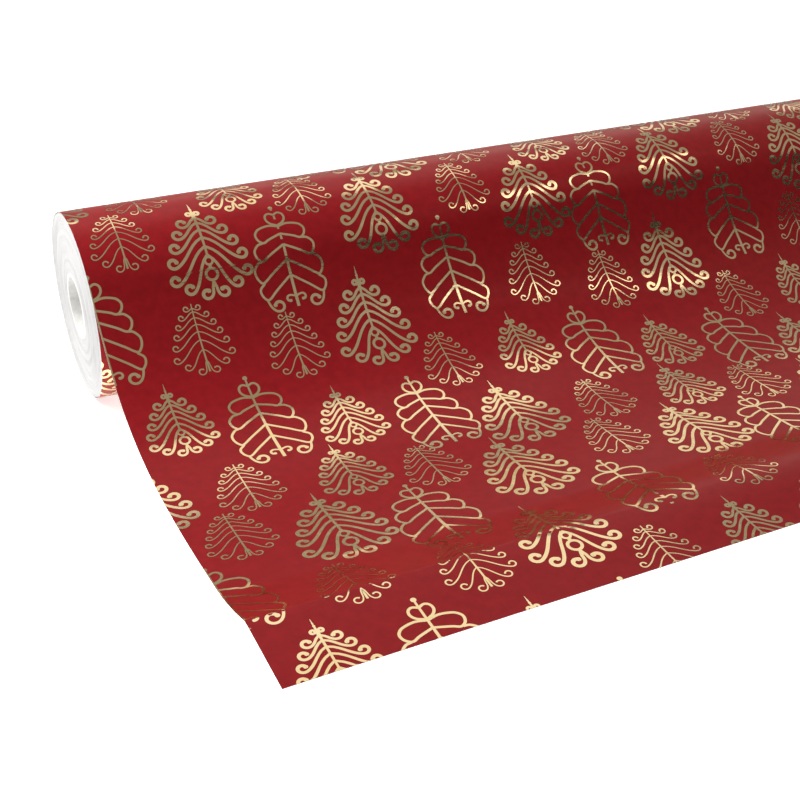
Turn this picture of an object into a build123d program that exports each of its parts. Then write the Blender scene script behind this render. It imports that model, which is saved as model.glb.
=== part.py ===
from build123d import *
# Counter roll of printed gift wrap, with its first stretch of paper drawn off over the front.
#
# Millimetres. X runs along the roll, -Y is the way the sheet is drawn off, +Z is up.
# The origin is the middle of the core's bore, so the table is ROLL_RADIUS below it.
import math
import os

# The roll
ROLL_RADIUS = 60.0        # outside of the drawn-off turn
WEB_WIDTH = 700.0         # width of the paper, and length of the core
PAPER = 0.4               # one ply of paper, drawn thicker than the real 0.08
TURN_GAP = 0.4            # between the wound pack and the loose outer turn

# The core, three plies of board wound one on another
BORE_RADIUS = 19.0
INNER_PLY = 0.6
MIDDLE_PLY = 1.1
OUTER_PLY = 0.6

# The tape that holds the paper's first turn on the core
TAPE_THICKNESS = 0.3
TAPE_WIDTH = 15.0
TAPE_LENGTH = 690.0

# The drawn-off web. Angles run from the top of the roll towards the front, and lengths
# along the table run forward from the roll's axis.
LEAVE_ANGLE = 63.0        # where the sheet leaves the roll
TUCK_ANGLE = 75.0         # where the outer turn's other end runs into the pack
FALL_PULL = 73.0          # how far the sheet holds the roll's tangent
LANDING_PULL = 114.0      # how far it holds the table's
TOUCHDOWN = 240.0
RIDGE_START = 262.0
RIDGE = 304.0             # a low wave before the leading edge
RIDGE_HEIGHT = 6.0
LEADING_EDGE = 349.0
LIP_FALL = 0.10           # slope of the lip where it meets the table again

# The line that the sheet bends about when its front is lifted
LIFT_LINE = 205.0
LIFT_GAP = 0.6

# Worked out
core_radius = BORE_RADIUS + INNER_PLY + MIDDLE_PLY + OUTER_PLY
pack_radius = ROLL_RADIUS - PAPER - TURN_GAP
web_radius = ROLL_RADIUS - PAPER / 2
web_floor = PAPER / 2 - ROLL_RADIUS

os.makedirs("parts", exist_ok=True)


def board_ply(inner, thickness):
    """One ply of the core, a tube of board as long as the paper is wide."""
    with BuildPart() as ply:
        with BuildSketch(Plane.YZ):
            Circle(inner + thickness)
            Circle(inner, mode=Mode.SUBTRACT)
        extrude(amount=WEB_WIDTH / 2, both=True)
    return ply


# --- Core -----------------------------------------------------------------------------
core_inner_ply = board_ply(BORE_RADIUS, INNER_PLY)
core_middle_ply = board_ply(BORE_RADIUS + INNER_PLY, MIDDLE_PLY)
core_outer_ply = board_ply(core_radius - OUTER_PLY, OUTER_PLY)

# --- Start of the paper -----------------------------------------------------------------
tape_arc = math.degrees(TAPE_WIDTH / core_radius)

with BuildPart() as start_tape:
    with BuildSketch(Plane.YZ):
        with BuildLine():
            CenterArc((0, 0), core_radius + TAPE_THICKNESS / 2, 90 - tape_arc / 2, tape_arc)
        trace(line_width=TAPE_THICKNESS)
    extrude(amount=TAPE_LENGTH / 2, both=True)

# The paper still wound on the core, with room for the tape under its first turn
with BuildPart() as wound_pack:
    with BuildSketch(Plane.YZ):
        Circle(pack_radius)
        Circle(core_radius, mode=Mode.SUBTRACT)
    extrude(amount=WEB_WIDTH / 2, both=True)
    add(start_tape.part, mode=Mode.SUBTRACT)

# --- Drawn-off web ------------------------------------------------------------------------
# The outer turn runs from where the sheet leaves, back over the top and round underneath,
# and stops where the next ply would run in under it.
with BuildPart() as outer_turn:
    with BuildSketch(Plane.YZ):
        with BuildLine():
            CenterArc((0, 0), web_radius, 90 + TUCK_ANGLE, 360 + LEAVE_ANGLE - TUCK_ANGLE)
        trace(line_width=PAPER)
    extrude(amount=WEB_WIDTH / 2, both=True)

# The sheet leaves along the roll's tangent, falls in one easy curve and lies down flat.
leave_turn = math.radians(LEAVE_ANGLE)
leave = Vector(-math.sin(leave_turn), math.cos(leave_turn)) * web_radius
fall_pull = leave + Vector(-math.cos(leave_turn), -math.sin(leave_turn)) * FALL_PULL
touchdown = Vector(-TOUCHDOWN, web_floor)
landing_pull = touchdown + Vector(LANDING_PULL, 0)
ridge_start = Vector(-RIDGE_START, web_floor)
ridge = Vector(-RIDGE, web_floor + RIDGE_HEIGHT)
leading_edge = Vector(-LEADING_EDGE, web_floor)

with BuildPart() as falling_sheet:
    with BuildSketch(Plane.YZ):
        with BuildLine():
            Bezier(leave, fall_pull, landing_pull, touchdown)
        trace(line_width=PAPER)
    extrude(amount=WEB_WIDTH / 2, both=True)
    split(bisect_by=Plane.XZ.offset(LIFT_LINE - LIFT_GAP / 2), keep=Keep.BOTTOM)

with BuildPart() as landing_sheet:
    with BuildSketch(Plane.YZ):
        with BuildLine():
            Bezier(leave, fall_pull, landing_pull, touchdown)
            Line(touchdown, ridge_start)
            Spline(ridge_start, ridge, leading_edge, tangents=((-1, 0), (-1, -LIP_FALL)))
        trace(line_width=PAPER)
    extrude(amount=WEB_WIDTH / 2, both=True)
    split(bisect_by=Plane.XZ.offset(LIFT_LINE + LIFT_GAP / 2), keep=Keep.TOP)

pieces = {
    "core_inner_ply": core_inner_ply,
    "core_middle_ply": core_middle_ply,
    "core_outer_ply": core_outer_ply,
    "start_tape": start_tape,
    "wound_pack": wound_pack,
    "outer_turn": outer_turn,
    "falling_sheet": falling_sheet,
    "landing_sheet": landing_sheet,
}

for name, piece in pieces.items():
    piece.part.label = name
    export_step(piece.part, f"parts/{name}.step")
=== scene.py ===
import bpy
import math
import numpy as np
from mathutils import Matrix, Vector


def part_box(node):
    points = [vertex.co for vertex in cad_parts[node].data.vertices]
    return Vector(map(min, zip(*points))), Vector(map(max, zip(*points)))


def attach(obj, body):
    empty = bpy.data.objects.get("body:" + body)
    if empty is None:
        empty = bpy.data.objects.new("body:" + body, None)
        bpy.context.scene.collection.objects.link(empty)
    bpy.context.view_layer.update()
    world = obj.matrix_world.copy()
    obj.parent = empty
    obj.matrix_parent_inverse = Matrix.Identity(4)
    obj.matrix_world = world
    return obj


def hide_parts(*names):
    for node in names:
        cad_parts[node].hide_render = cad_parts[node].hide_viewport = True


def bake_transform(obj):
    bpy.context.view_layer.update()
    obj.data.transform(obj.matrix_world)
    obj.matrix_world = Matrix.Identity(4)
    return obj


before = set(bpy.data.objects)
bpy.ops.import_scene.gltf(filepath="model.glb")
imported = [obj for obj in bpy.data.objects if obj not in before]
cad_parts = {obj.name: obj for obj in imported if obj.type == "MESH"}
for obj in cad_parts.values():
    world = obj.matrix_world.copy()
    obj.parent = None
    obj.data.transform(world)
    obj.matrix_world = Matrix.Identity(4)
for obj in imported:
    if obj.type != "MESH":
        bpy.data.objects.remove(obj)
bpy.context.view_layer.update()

MM = 0.001

# --- The roll and its web, as the CAD has them --------------------------------------------
roll_low, roll_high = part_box("outer_turn")
sheet_low, sheet_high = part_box("landing_sheet")
LEFT = roll_low.x
WEB_WIDTH = roll_high.x - LEFT
ROLL_RADIUS = roll_high.z
PACK_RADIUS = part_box("wound_pack")[1].z
CORE_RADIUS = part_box("core_outer_ply")[1].z
TABLE = -ROLL_RADIUS
CAD_PAPER = 0.4 * MM
WEB_RADIUS = ROLL_RADIUS - CAD_PAPER / 2
LEAVE_ANGLE = math.radians(63)
TUCK_ANGLE = math.radians(75)
FALL_PULL = 73 * MM
LANDING_PULL = 114 * MM
TOUCHDOWN = 240 * MM
RIDGE_START = 262 * MM
RIDGE = 304 * MM
RIDGE_HEIGHT = 6 * MM
LEADING_EDGE = -sheet_low.y

# --- What only the looks have ---------------------------------------------------------------
PAPER = 0.24 * MM         # thickness, nearer the real 0.08 than the CAD's
FOLD_HEIGHT = 8 * MM      # of the ridge at its left edge
FOLD_END = 320 * MM       # across the web, where the fold has faded into the ridge
FALL_OFF = 10 * MM        # how far past the leading edge the ridge would reach the table
WAVE = 0.16 * MM          # of the slack in the sheet
WAVE_IN = 80 * MM         # the waves grow over this length below the roll
WAVE_OUT = 40 * MM        # and die away over this one before the leading edge


def smooth(t):
    """0 to 1 with level ends."""
    t = np.clip(t, 0, 1)
    return t * t * (3 - 2 * t)


# --- Camera, light and floor ----------------------------------------------------------------
CAMERA_LENS = 55.44       # millimetres, as is the sensor
CAMERA_SENSOR = 36
CAMERA_TURN = -25.36      # degrees
CAMERA_DOWN = 25.14
CAMERA_ROLL = -1.91
CAMERA_ASIDE = 0.1312     # left of the roll's left end
CAMERA_BACK = 0.7516      # in front of its axis
CAMERA_UP = 0.3319        # above the table
FLOOR_SIZE = 60.0
FLOOR_GAP = 0.05 * MM     # keeps the floor off the paper that lies on it


def add_camera():
    """The viewer stands left of the roll's end, in front of it and above it."""
    data = bpy.data.cameras.new("camera")
    data.lens = CAMERA_LENS
    data.sensor_width = CAMERA_SENSOR
    camera = bpy.data.objects.new("camera", data)
    turn = Matrix.Rotation(math.radians(CAMERA_TURN), 4, "Z")
    tilt = Matrix.Rotation(math.radians(90 - CAMERA_DOWN), 4, "X")
    roll = Matrix.Rotation(math.radians(CAMERA_ROLL), 4, "Z")
    place = Matrix.Translation((LEFT - CAMERA_ASIDE, -CAMERA_BACK, TABLE + CAMERA_UP))
    camera.matrix_world = place @ turn @ tilt @ roll
    bpy.context.scene.collection.objects.link(camera)
    bpy.context.scene.camera = camera


def facing(place, aim):
    """The turn that points a light or a card at place towards aim."""
    return (Vector(aim) - Vector(place)).to_track_quat("-Z", "Y")


def add_area(name, place, aim, size, power, colour=(1, 1, 1)):
    """A softbox that lights the object and shows in its gloss, but not to the camera."""
    data = bpy.data.lights.new(name, "AREA")
    data.shape = "RECTANGLE"
    data.size, data.size_y = size
    data.energy = power
    data.color = colour
    light = bpy.data.objects.new(name, data)
    light.location = place
    light.visible_camera = False
    light.rotation_euler = facing(place, aim).to_euler()
    bpy.context.scene.collection.objects.link(light)


def rectangle(width, height, z):
    """Corners of a rectangle round the origin."""
    x, y = width / 2, height / 2
    return (-x, -y, z), (x, -y, z), (x, y, z), (-x, y, z)


def add_card(name, corners, material):
    """One flat face of the studio, not part of the object."""
    mesh = bpy.data.meshes.new(name)
    mesh.from_pydata(corners, [], [(0, 1, 2, 3)])
    mesh.materials.append(material)
    card = bpy.data.objects.new(name, mesh)
    bpy.context.scene.collection.objects.link(card)
    return card


def add_flag(place, aim, width, height):
    """A black card that keeps the light off one side and gives the foil something dark to mirror."""
    turn = facing(place, aim).to_matrix()
    corners = [Vector(place) + turn @ Vector(corner) for corner in rectangle(width, height, 0)]
    shader = Shader("flag")
    shader.set(Base_Color=(0.015, 0.015, 0.015, 1), Roughness=0.9)
    add_card("flag", corners, shader.material).visible_camera = False


def add_lights():
    """Softboxes over, behind and left of the roll, and a strip over a black flag on the right."""
    add_area("overhead", (0.2, 1.0, 1.6), (0, 0, 0), (2.0, 0.9), 4.4)
    add_area("left_key", (-0.85, 0.2, 0.95), (-0.2, -0.1, 0), (0.5, 0.5), 17, (1, 0.98, 0.95))
    add_area("back_card", (1.6, 2.4, 1.25), (0, 0, 0), (2.6, 0.9), 5.0, (1, 0.94, 0.86))
    add_area("right_strip", (0.9, -0.6, 1.38), (0, 0, 0), (0.9, 0.16), 0.75)
    add_flag((1.1, -1.5, 1.1), (0, 0, 0), 2.0, 0.5)


def add_world():
    """An even white surround."""
    world = bpy.data.worlds.new("studio")
    world.use_nodes = True
    background = world.node_tree.nodes["Background"]
    background.inputs["Color"].default_value = (1.0, 1.0, 1.0, 1)
    background.inputs["Strength"].default_value = 0.33
    bpy.context.scene.world = world


class Shader:
    """A material's node tree, with short ways to add and join nodes."""

    def __init__(self, name):
        self.material = bpy.data.materials.new(name)
        self.material.use_nodes = True
        self.tree = self.material.node_tree
        self.bsdf = self.tree.nodes["Principled BSDF"]

    def node(self, kind, **values):
        node = self.tree.nodes.new(kind)
        for key, value in values.items():
            if hasattr(node, key):
                setattr(node, key, value)
            else:
                node.inputs[key.replace("_", " ")].default_value = value
        return node

    def join(self, a, b):
        self.tree.links.new(a, b)

    def set(self, **values):
        for key, value in values.items():
            self.bsdf.inputs[key.replace("_", " ")].default_value = value


def add_floor():
    """A white floor that glows a little, so that it stays white under the soft light."""
    shader = Shader("floor")
    shader.set(Base_Color=(0.9, 0.9, 0.9, 1), Roughness=0.7)
    shader.set(Emission_Color=(1, 1, 1, 1), Emission_Strength=0.68)
    add_card("floor", rectangle(FLOOR_SIZE, FLOOR_SIZE, TABLE - FLOOR_GAP), shader.material)


# --- The web's path -----------------------------------------------------------------------------
def bezier(points, count):
    """Evenly stepped points of one cubic curve."""
    a, b, c, d = (np.array(p, float) for p in points)
    t = np.linspace(0, 1, count)[:, None]
    return (1 - t) ** 3 * a + 3 * (1 - t) ** 2 * t * b + 3 * (1 - t) * t * t * c + t**3 * d


def web_line():
    """The web's middle line in (y, z), its distance from the roll's top, and its outward normal."""
    turn = np.arange(TUCK_ANGLE - 2 * math.pi, LEAVE_ANGLE, math.radians(0.5))
    arc = WEB_RADIUS * np.stack([-np.sin(turn), np.cos(turn)], 1)
    floor = TABLE + CAD_PAPER / 2
    leave = WEB_RADIUS * np.array([-math.sin(LEAVE_ANGLE), math.cos(LEAVE_ANGLE)])
    way = np.array([-math.cos(LEAVE_ANGLE), -math.sin(LEAVE_ANGLE)])
    landing = (LANDING_PULL - TOUCHDOWN, floor)
    fall = bezier((leave, leave + FALL_PULL * way, landing, (-TOUCHDOWN, floor)), 500)
    rise = np.linspace(-TOUCHDOWN, -LEADING_EDGE, 220)[1:]
    up = smooth((-rise - RIDGE_START) / (RIDGE - RIDGE_START))
    down = smooth((-rise - RIDGE) / (LEADING_EDGE + FALL_OFF - RIDGE))
    lip = np.stack([rise, floor + RIDGE_HEIGHT * up * (1 - down)], 1)
    line = np.concatenate([arc, fall, lip])
    step = np.hypot(*np.diff(line, axis=0).T)
    along = np.concatenate([[0], np.cumsum(step)]) + turn[0] * WEB_RADIUS
    way = np.gradient(line, along, axis=0)
    way /= np.hypot(*way.T)[:, None]
    return line, along, np.stack([way[:, 1], -way[:, 0]], 1)


LINE, ALONG, NORMAL = web_line()
WEB_START = ALONG[0]
WEB_END = ALONG[-1]
FALL_START = WEB_RADIUS * LEAVE_ANGLE
WEB_COLUMNS = 106
ROWS_BEFORE_FOLD = 381
ROWS_AFTER_FOLD = 46


def fold(u, out):
    """How much the ridge stands above its smooth line: a sharp fold at the left edge, gone by FOLD_END."""
    rise = np.clip((out - RIDGE_START) / (RIDGE - RIDGE_START), 0, 1)
    fall = np.clip((out - RIDGE) / (LEADING_EDGE + FALL_OFF - RIDGE), 0, 1)
    sharp = FOLD_HEIGHT * rise**1.6 * (1 - fall)
    soft = RIDGE_HEIGHT * smooth(rise) * (1 - smooth(fall))
    return (sharp - soft) * (1 - smooth(u / FOLD_END))


def waves(u, v):
    """The slack sheet's slow waves, none on the roll or at the leading edge."""
    slack = smooth((v - FALL_START) / WAVE_IN) * (1 - smooth((v - WEB_END + WAVE_OUT) / WAVE_OUT))
    wave = np.sin(u * 31 + 2.0 * np.sin(v * 14)) + 0.6 * np.sin(u * 13 - v * 23 + 1.0)
    return WAVE * slack * (1.6 + wave)


def on_web(u, v, lift):
    """Points of the web: u from its left edge, v along it from the roll's top, lift off its middle."""
    y = np.interp(v, ALONG, LINE[:, 0])
    z = np.interp(v, ALONG, LINE[:, 1]) + fold(u, -y) * (v > FALL_START)
    lift = lift + waves(u, v)
    ny = np.interp(v, ALONG, NORMAL[:, 0])
    nz = np.interp(v, ALONG, NORMAL[:, 1])
    return np.stack([LEFT + u, y + lift * ny, z + lift * nz], -1)


def add_mesh(name, verts, faces, materials, face_material=None, smooth_faces=True):
    """A piece from arrays. A smooth one stays sharp at edges above 50 degrees."""
    mesh = bpy.data.meshes.new(name)
    mesh.from_pydata(np.asarray(verts).tolist(), [], np.asarray(faces).tolist())
    for material in materials:
        mesh.materials.append(material)
    if face_material is not None:
        mesh.polygons.foreach_set("material_index", np.asarray(face_material, np.int32))
    mesh.polygons.foreach_set("use_smooth", np.full(len(mesh.polygons), smooth_faces))
    mesh.set_sharp_from_angle(angle=math.radians(50))
    piece = bpy.data.objects.new(name, mesh)
    bpy.context.scene.collection.objects.link(piece)
    return piece


def add_uv(piece, corners):
    """Gives every vertex its own (u, v) on the piece's one UV map, in metres."""
    layer = piece.data.uv_layers.new(name="flat")
    loops = np.empty(len(piece.data.loops), np.int32)
    piece.data.loops.foreach_get("vertex_index", loops)
    layer.data.foreach_set("uv", np.asarray(corners, np.float32)[loops].ravel())


def paper_web(print_side, white_side):
    """The drawn-off web as one closed sheet: printed face, white back and cut edges."""
    across = np.linspace(0, WEB_WIDTH, WEB_COLUMNS)
    sheet = ALONG > FALL_START
    fold_v = np.interp(RIDGE, -LINE[sheet, 0], ALONG[sheet])
    before = np.linspace(WEB_START, fold_v, ROWS_BEFORE_FOLD)
    along = np.concatenate([before, np.linspace(fold_v, WEB_END, ROWS_AFTER_FOLD)[1:]])
    u, v = np.meshgrid(across, along)
    top = on_web(u, v, PAPER / 2).reshape(-1, 3)
    under = on_web(u, v, -PAPER / 2).reshape(-1, 3)
    rows, columns = u.shape
    index = np.arange(rows * columns).reshape(rows, columns)
    a, b, c, d = index[:-1, :-1], index[:-1, 1:], index[1:, 1:], index[1:, :-1]
    face = np.stack([a, d, c, b], -1).reshape(-1, 4)
    back = np.stack([a, b, c, d], -1).reshape(-1, 4) + rows * columns
    rim = np.concatenate([index[0, :], index[1:, -1], index[-1, -2::-1], index[-2:0:-1, 0]])
    following = np.roll(rim, -1)
    wall = np.stack([rim, following, following + rows * columns, rim + rows * columns], 1)
    faces = np.concatenate([face, back, wall])
    slots = np.concatenate([np.zeros(len(face)), np.ones(len(back)), np.ones(len(wall))])
    piece = add_mesh("drawn_web", np.concatenate([top, under]), faces, [print_side, white_side], slots)
    flat = np.stack([u, v], -1).reshape(-1, 2)
    add_uv(piece, np.concatenate([flat, flat]))
    return piece


# --- The wound pack ----------------------------------------------------------------------------
LAPS = 64                 # that show at an end
PACK_SIDES = 180
PACK_GAP = 0.02 * MM      # to the core inside it and to the CAD's outside
END_INSET = 0.25 * MM     # leaves the uneven laps within the web's width
END_WOBBLE = 0.05 * MM
TURN_SCALE = 50 * MM      # flat length of one radian, at about the pack's middle radius


def ring_offsets(count, seed):
    """How far each lap at an end stands in or out, drifting slowly from lap to lap."""
    random = np.random.default_rng(seed)
    drift = np.cumsum(random.normal(0, 0.035, count))
    drift -= np.linspace(drift[0], drift[-1], count)
    return (drift + random.normal(0, 0.045, count)) * MM


def pack_end(side, seed, radii, turn):
    """One end of the pack, as rings from the core outwards. Side is -1 on the left and 1 on the right."""
    step = np.repeat(ring_offsets(LAPS, seed), 2)
    wobble = END_WOBBLE * np.sin(turn[None, :] * 2 + radii[:, None] * 400)
    x = side * (WEB_WIDTH / 2 - END_INSET) + step[:, None] + wobble
    return np.stack([x, radii[:, None] * np.cos(turn), radii[:, None] * np.sin(turn)], -1)


def pack_mesh(name, end_material, print_material):
    """The wound paper: both ends stand in small uneven laps, and the outside is printed."""
    laps = np.linspace(CORE_RADIUS + PACK_GAP, PACK_RADIUS - PACK_GAP, LAPS + 1)
    radii = np.repeat(laps, 2)[1:-1]
    turn = np.linspace(0, 2 * math.pi, PACK_SIDES, endpoint=False)
    left = pack_end(-1, 3, radii, turn)
    right = pack_end(1, 4, radii, turn)
    loop = np.concatenate([left, right[::-1]])
    count, around = loop.shape[:2]
    index = np.arange(count * around).reshape(count, around)
    a, b = index, np.roll(index, -1, 1)
    c, d = np.roll(b, -1, 0), np.roll(index, -1, 0)
    faces = np.stack([a, d, c, b], -1).reshape(-1, 4)
    slots = np.zeros((count, around))
    slots[count // 2 - 1] = 1
    materials = [end_material, print_material]
    piece = add_mesh(name, loop.reshape(-1, 3), faces, materials, slots.ravel(), False)
    radius = np.repeat(np.concatenate([radii, radii[::-1]])[:, None], around, 1)
    angle = np.broadcast_to(turn[None, :], (count, around))
    add_uv(piece, np.stack([radius, angle * TURN_SCALE], -1).reshape(-1, 2))
    return piece


# --- The trees of the print -------------------------------------------------------------------
# A stroke is (points, widths). x runs right and y down, and a tree is 1 tall with its tip at 0.


def scroll(start, hook, width, radius=0.035, sweep=45, droop=60, turn=280, count=26):
    """An arm that sweeps out from start, droops and winds up into a hook of one radius."""
    start, hook = complex(*start), complex(*hook)
    way = 1 if turn > 0 else -1
    wound = abs(math.radians(turn)) * radius * 1.15
    arm = abs(hook - start)
    s = np.linspace(0, 1, 240)
    for _ in range(8):
        length = arm + wound
        out = np.minimum(s * length / arm, 1)
        curl = abs(math.radians(turn)) * np.clip((s * length - arm) / wound, 0, 1) ** 1.25
        heading = -way * (math.radians(sweep) * (1 - out) ** 2 + math.radians(droop) * out**2 + curl)
        path = np.concatenate([[0], np.cumsum(np.exp(1j * heading[1:]))]) * length / 239
        middle = path[s * length > arm + 0.45 * wound].mean()
        arm *= abs(hook - start) / abs(middle)
    path = start + path * (hook - start) / middle
    measure = s * length + np.abs(heading) * 0.07
    keep = np.linspace(0, measure[-1], count)
    line = np.stack([np.interp(keep, measure, path.real), np.interp(keep, measure, path.imag)], 1)
    return line, width * np.linspace(0.8, 1.15, count)


def ribbon(points, width, count=20, ends=(1, 1)):
    """A smooth stroke through a few points, its width running from one end to the other."""
    p = np.array(points, float)
    p = np.concatenate([[2 * p[0] - p[1]], p, [2 * p[-1] - p[-2]]])
    t = np.linspace(0, len(points) - 1, count)
    i = np.minimum(t.astype(int), len(points) - 2)
    f = (t - i)[:, None]
    a, b, c, d = p[i], p[i + 1], p[i + 2], p[i + 3]
    line = 0.5 * (2 * b + (c - a) * f + (2 * a - 5 * b + 4 * c - d) * f**2 + (3 * b - a - 3 * c + d) * f**3)
    return line, width * np.linspace(ends[0], ends[1], count)


def ring(centre, radius, width, count=20):
    """A closed round stroke."""
    turn = np.linspace(0, 2 * math.pi, count + 1)
    line = np.stack([np.sin(turn), np.cos(turn)], 1) * radius + centre
    return line, np.full(count + 1, width)


def dot(centre, radius):
    """A filled round, drawn as a ring as wide as its radius."""
    return ring(centre, radius / 2, radius, 14)


def mirrored(strokes):
    """Strokes and their twins on the left of the stem."""
    return strokes + [(points * (-1, 1), widths) for points, widths in strokes]


def round_end(stroke, size=1.2):
    """The dot that ends a hook."""
    points, widths = stroke
    return dot(points[-1], widths[-1] * size / 2)


def fine_tree(line=0.0175):
    """A slender tree: open arms on a thin stem."""
    reach = (0.085, 0.175, 0.24, 0.295, 0.345, 0.375, 0.265, 0.12)
    depth = (0.06, 0.165, 0.28, 0.405, 0.545, 0.71, 0.83, 0.93)
    roots = (0.08, 0.125, 0.205, 0.295, 0.395, 0.51, 0.64, 0.79)
    arms = []
    for x, y, root in zip(reach, depth, roots):
        arms.append(scroll((0, root), (x, y), line, 0.027 + 0.012 * y, 60, 50))
    arms += [round_end(arm) for arm in arms]
    stem = ribbon(((0, 0.02), (0, 0.5), (0, 0.96)), line, 8, (0.8, 1.5))
    return mirrored(arms) + [stem]


def bold_tree(line=0.030):
    """A heavy tree: thick arms, a bud with a spire on top and two rings low on the stem."""
    reach = (0.145, 0.215, 0.275, 0.325, 0.34, 0.235, 0.1)
    depth = (0.235, 0.35, 0.475, 0.61, 0.765, 0.86, 0.93)
    roots = (0.2, 0.265, 0.345, 0.43, 0.52, 0.6, 0.84)
    arms = []
    for x, y, root in zip(reach, depth, roots):
        arms.append(scroll((0, root), (x, y), line, 0.036, 60, 50))
    ends = [round_end(arm) for arm in arms]
    bud = [ring((0.036, 0.15), 0.020, 0.026)]
    drop = ribbon(((0, 0.10), (0, 0.15), (0, 0.215)), line, 8, (0.5, 1.3))
    spire = ribbon(((0, 0), (0, 0.06), (0, 0.12)), line, 6, (0.15, 0.7))
    beads = [dot((0, 0.055), 0.009), dot((0, 0.088), 0.013)]
    stem = ribbon(((0, 0.2), (0, 0.4), (0, 0.62)), line, 8, (0.8, 0.7))
    rings = [ring((0, 0.655), 0.034, line * 0.7), ring((0, 0.775), 0.052, line * 0.85)]
    neck = ribbon(((0, 0.69), (0, 0.705), (0, 0.72)), line, 4)
    foot = ribbon(((0, 0.83), (0, 0.86), (0, 0.89)), line, 4)
    return mirrored(arms + bud + ends) + [drop, spire, stem] + beads + rings + [neck, foot]


def branch_loop(shoulder, reach, top, bottom, root, line):
    """One leaf-shaped loop: out along its shoulder, round its lobe and back in to the stem."""
    tall = bottom - top
    lobe = (
        (reach - 0.05, top + 0.06 * tall),
        (reach - 0.008, top + 0.3 * tall),
        (reach, top + 0.55 * tall),
        (reach - 0.018, bottom - 0.16 * tall),
        (reach - 0.06, bottom),
    )
    branch = ((reach * 0.5, 0.6 * bottom + 0.4 * root), (0.0, root))
    return ribbon(shoulder + lobe + branch, line, 44)


def looped_tree(line=0.0215):
    """A tree of closed loops: leaf-shaped branches stacked on a stem, a knob and a heart on top."""
    reaches = (0.235, 0.285, 0.325, 0.315)
    joints = (0.225, 0.375, 0.54, 0.735, 0.895)
    roots = (0.31, 0.415, 0.555, 0.70)
    loops = []
    for k, (reach, root) in enumerate(zip(reaches, roots)):
        shoulder = ((0, 0.235), (0.09, 0.215)) if k == 0 else ((reaches[k - 1] - 0.045, joints[k] + 0.002),)
        loops.append(branch_loop(shoulder, reach, joints[k], joints[k + 1], root, line))
    heart = ((0, 0.225), (0.06, 0.195), (0.088, 0.15), (0.08, 0.105), (0.045, 0.085), (0.0, 0.105))
    foot = scroll((0.275, 0.885), (0.165, 0.945), line * 1.2, 0.042, 0, 30, -300)
    hook = scroll((0, 0.905), (0.08, 0.925), line, 0.024, 0, 20, -200, 18)
    ends = [round_end(foot, 1.3), round_end(hook)]
    stem = ribbon(((0, 0.03), (0, 0.5), (0, 1.0)), line, 10, (0.8, 1.4))
    return mirrored(loops + [ribbon(heart, line, 26), foot, hook] + ends) + [stem, dot((0, 0.022), 0.022)]


# --- The print, laid out in one repeat and carried over the web ------------------------------
REPEAT = WEB_WIDTH / 3
REPEAT_ALONG = 231 * MM
FOIL_LIFT = 0.05 * MM
STROKE_STEP = 0.0012 * MM  # each stroke above the one before, so that crossing strokes don't flicker
# The kinds of tree and how tall they are
TREES = {
    "a": (fine_tree(), 47 * MM),
    "b": (bold_tree(), 55 * MM),
    "B": (bold_tree(), 70 * MM),
    "C": (looped_tree(), 69 * MM),
}
# Each run of trees: its kinds, the middle of its first tree and the step to the next, all in
# millimetres across and along the web
RUNS = (
    ("aBC", (25, 35), (49.5, 14.5)),
    ("aB", (148, 17), (44, 23)),
    ("Caa", (0, 91), (57, 16)),
    ("Ba", (167, 115), (39, 42)),
    ("bCbC", (27, 158), (48.7, 13)),
    ("Bab", (-12, 217), (57.5, 7.5)),
)


def stroke_sides(points, widths):
    """Left and right sides of a stroke."""
    way = np.gradient(points, axis=0)
    way /= np.maximum(np.hypot(*way.T), 1e-9)[:, None]
    out = np.stack([-way[:, 1], way[:, 0]], 1) * widths[:, None] / 2
    return points + out, points - out


def tree_mesh(strokes, height):
    """One tree as flat quads, in metres, each stroke a hair above the one before."""
    verts, faces, lifts, start = [], [], [], 0
    for number, (points, widths) in enumerate(strokes):
        left, right = stroke_sides(points, widths)
        count = len(points)
        i = np.arange(count - 1) + start
        verts.append(np.concatenate([left, right]) * height)
        faces.append(np.stack([i, i + 1, i + 1 + count, i + count], 1))
        lifts.append(np.full(2 * count, number * STROKE_STEP))
        start += 2 * count
    return np.concatenate(verts), np.concatenate(faces), np.concatenate(lifts)


def placed_trees():
    """Every tree of the web: its kind and where its tip lies across and along."""
    tiles_across = math.ceil(WEB_WIDTH / REPEAT)
    tiles_back = math.ceil(-WEB_START / REPEAT_ALONG) + 1
    tiles_on = math.ceil(WEB_END / REPEAT_ALONG) + 1
    for tile_u in range(-1, tiles_across + 1):
        for tile_v in range(-tiles_back, tiles_on):
            for kinds, first, step in RUNS:
                for number, kind in enumerate(kinds):
                    u = (first[0] + number * step[0]) * MM + tile_u * REPEAT
                    middle = (first[1] + number * step[1]) * MM + tile_v * REPEAT_ALONG
                    v = middle - TREES[kind][1] / 2
                    yield kind, u, v


def foil(name, material, low, high):
    """The foil print of the web between two distances along it, cut off at the paper's edges."""
    meshes = {kind: tree_mesh(*tree) for kind, tree in TREES.items()}
    verts, faces, lifts, start = [], [], [], 0
    for kind, u, v in placed_trees():
        flat, quads, lift = meshes[kind]
        place = flat + (u, v)
        inside = (place[:, 0] > 0) & (place[:, 0] < WEB_WIDTH) & (place[:, 1] > low) & (place[:, 1] < high)
        keep = inside[quads].any(1)
        if not keep.any():
            continue
        used, back = np.unique(quads[keep], return_inverse=True)
        verts.append(np.clip(place[used], (0, low), (WEB_WIDTH, high)))
        lifts.append(lift[used])
        faces.append(back.reshape(-1, 4) + start)
        start += len(used)
    flat = np.concatenate(verts)
    lift = PAPER / 2 + FOIL_LIFT + np.concatenate(lifts)
    return add_mesh(name, on_web(flat[:, 0], flat[:, 1], lift), np.concatenate(faces), [material])


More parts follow.
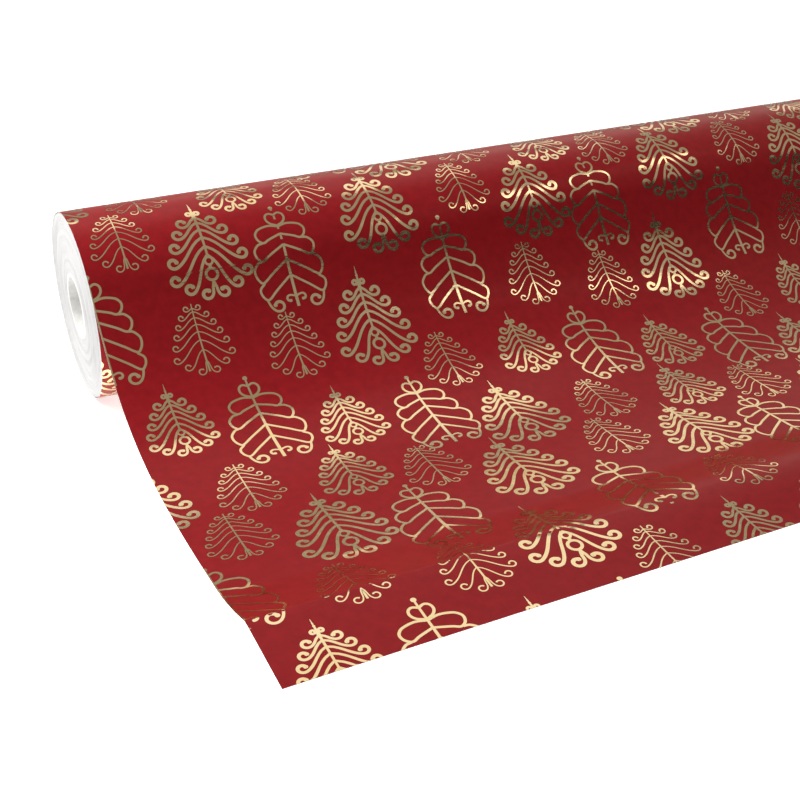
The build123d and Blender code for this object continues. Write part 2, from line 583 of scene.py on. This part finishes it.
# --- Materials ----------------------------------------------------------------------------------
SEAM_PITCH = 95 * MM      # of the spiral that the core's board is wound in


def metre_uv(shader, scale=(1, 1, 1)):
    """The piece's own flat coordinates, in metres, multiplied by scale."""
    uv = shader.node("ShaderNodeUVMap", uv_map="flat")
    mapping = shader.node("ShaderNodeMapping")
    mapping.inputs["Scale"].default_value = scale
    shader.join(uv.outputs["UV"], mapping.inputs["Vector"])
    return mapping.outputs["Vector"]


def noise(shader, vector, scale, detail=3.0, roughness=0.5):
    """A cloudy factor."""
    node = shader.node("ShaderNodeTexNoise")
    node.inputs["Scale"].default_value = scale
    node.inputs["Detail"].default_value = detail
    node.inputs["Roughness"].default_value = roughness
    shader.join(vector, node.inputs["Vector"])
    return node.outputs["Fac"]


def ramp(shader, factor, stops):
    """A factor turned into a colour, or into a grey where a stop holds one number."""
    node = shader.node("ShaderNodeValToRGB")
    elements = node.color_ramp.elements
    while len(elements) < len(stops):
        elements.new(0.5)
    for element, (place, colour) in zip(elements, stops):
        element.position = place
        element.color = (*colour, 1) if len(colour) == 3 else (colour[0], colour[0], colour[0], 1)
    shader.join(factor, node.inputs["Fac"])
    return node.outputs["Color"]


def bump(shader, height, distance, strength=1.0, under=None):
    """A normal raised by a height, over the bump that lies under it."""
    node = shader.node("ShaderNodeBump")
    node.inputs["Strength"].default_value = strength
    node.inputs["Distance"].default_value = distance
    shader.join(height, node.inputs["Height"])
    if under is not None:
        shader.join(under, node.inputs["Normal"])
    return node.outputs["Normal"]


def combine(shader, operation, *terms):
    """A Math node, each of whose terms is a socket or a number."""
    node = shader.node("ShaderNodeMath", operation=operation)
    for place, term in zip(node.inputs, terms):
        if isinstance(term, (int, float)):
            place.default_value = term
        else:
            shader.join(term, place)
    return node.outputs[0]


def print_material():
    """Coated paper printed in a solid red: satin, faintly mottled, with a long fibre grain."""
    shader = Shader("red_print")
    shader.set(Specular_IOR_Level=0.17, Specular_Tint=(1.0, 0.45, 0.25, 1))
    shader.set(Coat_Weight=0.13, Coat_IOR=1.25, Coat_Roughness=0.15)
    shader.set(Sheen_Weight=0.4, Sheen_Tint=(1.0, 0.25, 0.08, 1), Sheen_Roughness=0.35)
    mottle = noise(shader, metre_uv(shader), 160, 4)
    colour = ramp(shader, mottle, ((0.3, (0.215, 0.0055, 0.0100)), (0.7, (0.262, 0.0075, 0.0125))))
    shader.join(colour, shader.bsdf.inputs["Base Color"])
    gloss = noise(shader, metre_uv(shader), 35, 3)
    shader.join(ramp(shader, gloss, ((0.3, (0.33,)), (0.7, (0.40,)))), shader.bsdf.inputs["Roughness"])
    cockle = bump(shader, noise(shader, metre_uv(shader, (1, 2.2, 1)), 14, 2), 0.25 * MM, 0.5)
    grain = bump(shader, noise(shader, metre_uv(shader, (1, 3, 1)), 1500, 2), 0.01 * MM, 0.3, cockle)
    shader.join(grain, shader.bsdf.inputs["Normal"])
    return shader.material


def white_material():
    """The uncoated back and cut edge of the paper: soft white with fibres."""
    shader = Shader("white_paper")
    shader.set(Roughness=0.8, Specular_IOR_Level=0.3)
    fibre = noise(shader, metre_uv(shader, (1, 3, 1)), 700, 4, 0.65)
    cloud = noise(shader, metre_uv(shader), 60, 3)
    mix = combine(shader, "MULTIPLY", fibre, cloud)
    colour = ramp(shader, mix, ((0.1, (0.80, 0.79, 0.76)), (0.45, (0.90, 0.89, 0.87))))
    shader.join(colour, shader.bsdf.inputs["Base Color"])
    shader.join(bump(shader, fibre, 0.03 * MM, 0.5), shader.bsdf.inputs["Normal"])
    return shader.material


def foil_material():
    """Gold foil: a slightly tarnished and scuffed mirror, a little uneven from the paper under it."""
    shader = Shader("gold_foil")
    shader.set(Metallic=1.0)
    place = shader.node("ShaderNodeTexCoord").outputs["Generated"]
    tint = noise(shader, place, 9, 3)
    colour = ramp(shader, tint, ((0.3, (0.82, 0.61, 0.31)), (0.7, (0.90, 0.71, 0.41))))
    shader.join(colour, shader.bsdf.inputs["Base Color"])
    wear = noise(shader, place, 120, 4, 0.7)
    shader.join(ramp(shader, wear, ((0.35, (0.09,)), (0.75, (0.24,)))), shader.bsdf.inputs["Roughness"])
    shader.join(bump(shader, noise(shader, place, 45, 3), 0.12 * MM, 0.35), shader.bsdf.inputs["Normal"])
    return shader.material


def lap_material():
    """Ends of the wound laps: thin rings of white paper edge, in finer and broader greys."""
    shader = Shader("wound_ends")
    shader.set(Roughness=0.75, Specular_IOR_Level=0.3)
    laps = noise(shader, metre_uv(shader, (1, 0.02, 1)), 2600, 2, 0.6)
    broad = noise(shader, metre_uv(shader, (1, 0.05, 1)), 260, 3)
    both = combine(shader, "MULTIPLY", laps, broad)
    greys = ((0.10, (0.38, 0.38, 0.385)), (0.22, (0.51, 0.51, 0.515)), (0.5, (0.58, 0.58, 0.585)))
    shader.join(ramp(shader, both, greys), shader.bsdf.inputs["Base Color"])
    shader.join(bump(shader, laps, 0.08 * MM, 0.5), shader.bsdf.inputs["Normal"])
    return shader.material


def spiral_seam(shader, place):
    """1 over the core and 0 along a spiral round it, where the edges of a wound strip meet."""
    split = shader.node("ShaderNodeSeparateXYZ")
    shader.join(place, split.inputs["Vector"])
    angle = combine(shader, "ARCTAN2", split.outputs["Z"], split.outputs["Y"])
    turns = combine(shader, "MULTIPLY", angle, 1 / (2 * math.pi))
    pitch = combine(shader, "MULTIPLY_ADD", split.outputs["X"], 1 / SEAM_PITCH, turns)
    phase = combine(shader, "FRACT", pitch)
    return ramp(shader, phase, ((0.0, (0.0,)), (0.012, (1.0,)), (0.988, (1.0,)), (1.0, (0.0,))))


def board_material():
    """Grey-white core board: mottled fibres and the spiral butt seam of a wound tube."""
    shader = Shader("core_board")
    shader.set(Roughness=0.85, Specular_IOR_Level=0.25)
    place = shader.node("ShaderNodeTexCoord").outputs["Object"]
    seam = spiral_seam(shader, place)
    fibre = noise(shader, place, 420, 4, 0.7)
    greys = ((0.3, (0.66, 0.655, 0.64)), (0.55, (0.76, 0.755, 0.74)), (0.8, (0.82, 0.815, 0.80)))
    darker = shader.node("ShaderNodeMix", data_type="RGBA", blend_type="MULTIPLY")
    darker.inputs["Factor"].default_value = 0.5
    shader.join(ramp(shader, fibre, greys), darker.inputs["A"])
    shader.join(seam, darker.inputs["B"])
    shader.join(darker.outputs["Result"], shader.bsdf.inputs["Base Color"])
    rough = bump(shader, fibre, 0.05 * MM, 0.6)
    shader.join(bump(shader, seam, 0.3 * MM, 0.8, rough), shader.bsdf.inputs["Normal"])
    return shader.material


def tape_material():
    """Amber double-sided tape under the first lap: glossy, with faint streaks in the glue."""
    shader = Shader("fixing_tape")
    shader.set(Roughness=0.22, Coat_Weight=0.5, Coat_Roughness=0.08)
    place = shader.node("ShaderNodeTexCoord").outputs["Object"]
    streak = noise(shader, place, 260, 3, 0.6)
    colour = ramp(shader, streak, ((0.3, (0.58, 0.50, 0.34)), (0.7, (0.70, 0.62, 0.45))))
    shader.join(colour, shader.bsdf.inputs["Base Color"])
    shader.join(bump(shader, streak, 0.03 * MM, 0.4), shader.bsdf.inputs["Normal"])
    return shader.material


def dress(node, material):
    """Puts a material on every slot of a carried-over CAD node."""
    if not node.data.materials:
        node.data.materials.append(material)
    for number in range(len(node.data.materials)):
        node.data.materials[number] = material


# --- The scene and its pieces ---------------------------------------------------------------------
add_camera()
add_lights()
add_world()
add_floor()
bpy.context.scene.view_settings.view_transform = "Standard"

red_print = print_material()
white_paper = white_material()
web = paper_web(red_print, white_paper)
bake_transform(web)
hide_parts("outer_turn", "falling_sheet", "landing_sheet")

gold = foil_material()
turn_foil = foil("turn_foil", gold, WEB_START, FALL_START)
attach(turn_foil, "drawn_web")
sheet_foil = foil("sheet_foil", gold, FALL_START, WEB_END)
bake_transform(sheet_foil)

pack = pack_mesh("pack_of_paper", lap_material(), red_print)
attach(pack, "roll")
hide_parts("wound_pack")

core_board = board_material()
for ply in ("core_inner_ply", "core_middle_ply", "core_outer_ply"):
    dress(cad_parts[ply], core_board)
dress(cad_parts["start_tape"], tape_material())
